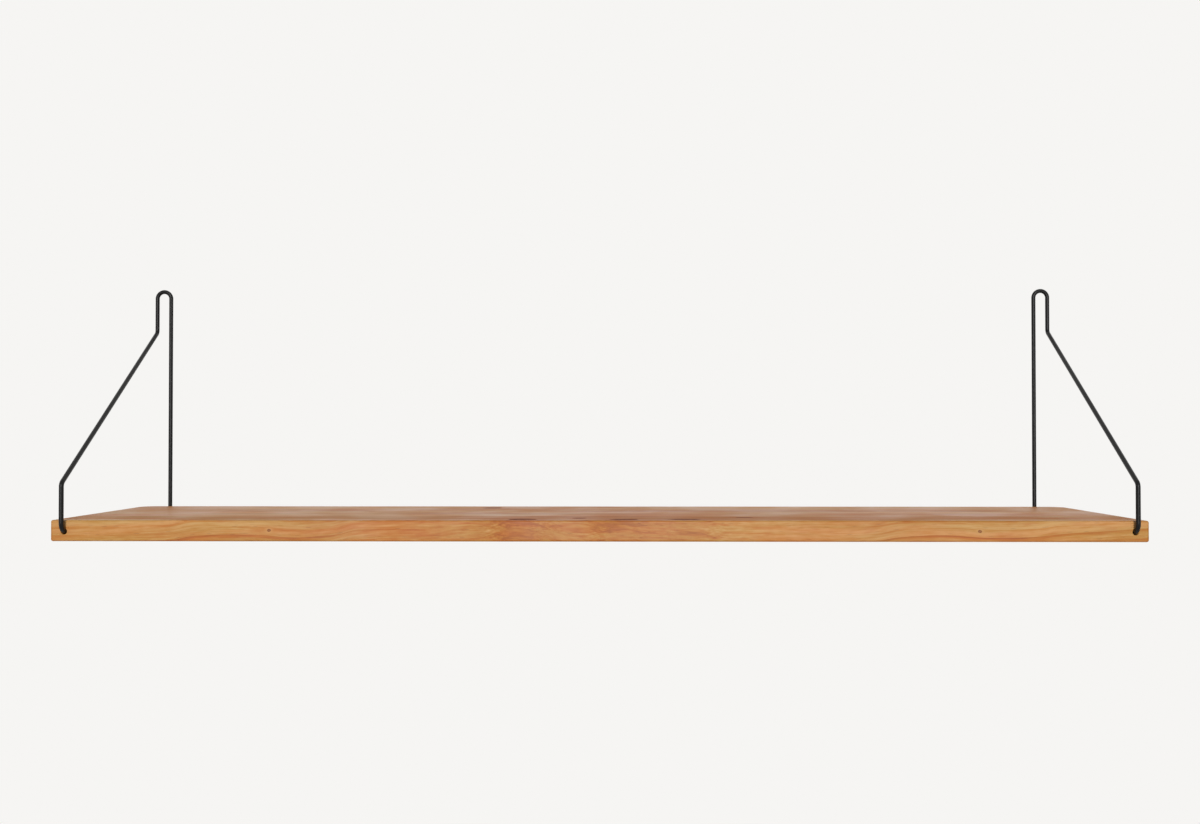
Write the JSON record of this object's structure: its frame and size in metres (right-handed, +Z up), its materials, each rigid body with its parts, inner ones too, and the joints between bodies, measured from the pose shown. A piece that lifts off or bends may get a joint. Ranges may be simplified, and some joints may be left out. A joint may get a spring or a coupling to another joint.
{
  "type": "wall shelf with brackets",
  "caption": "Slim solid oak wall shelf carried by a pair of bent black wire brackets that hang by narrow hairpin loops and plug into the front and rear edges of the board.",
  "frame": {"origin": "on the wall plane, midway between the two hanging loops, at the height of the loops' arc centres", "axes": "+Z up, +X to the right of someone facing the shelf, -Y the front of the shelf and +Y into the wall"},
  "size_m": [0.8, 0.2135, 0.2052],
  "materials": {
    "oiled_oak": "oiled, satin",
    "black_steel": "fine satin powder coat"
  },
  "bodies": {
    "root": {"shelf_board": "oiled_oak", "bracket_left": "black_steel", "bracket_right": "black_steel"}
  },
  "joints": []
}
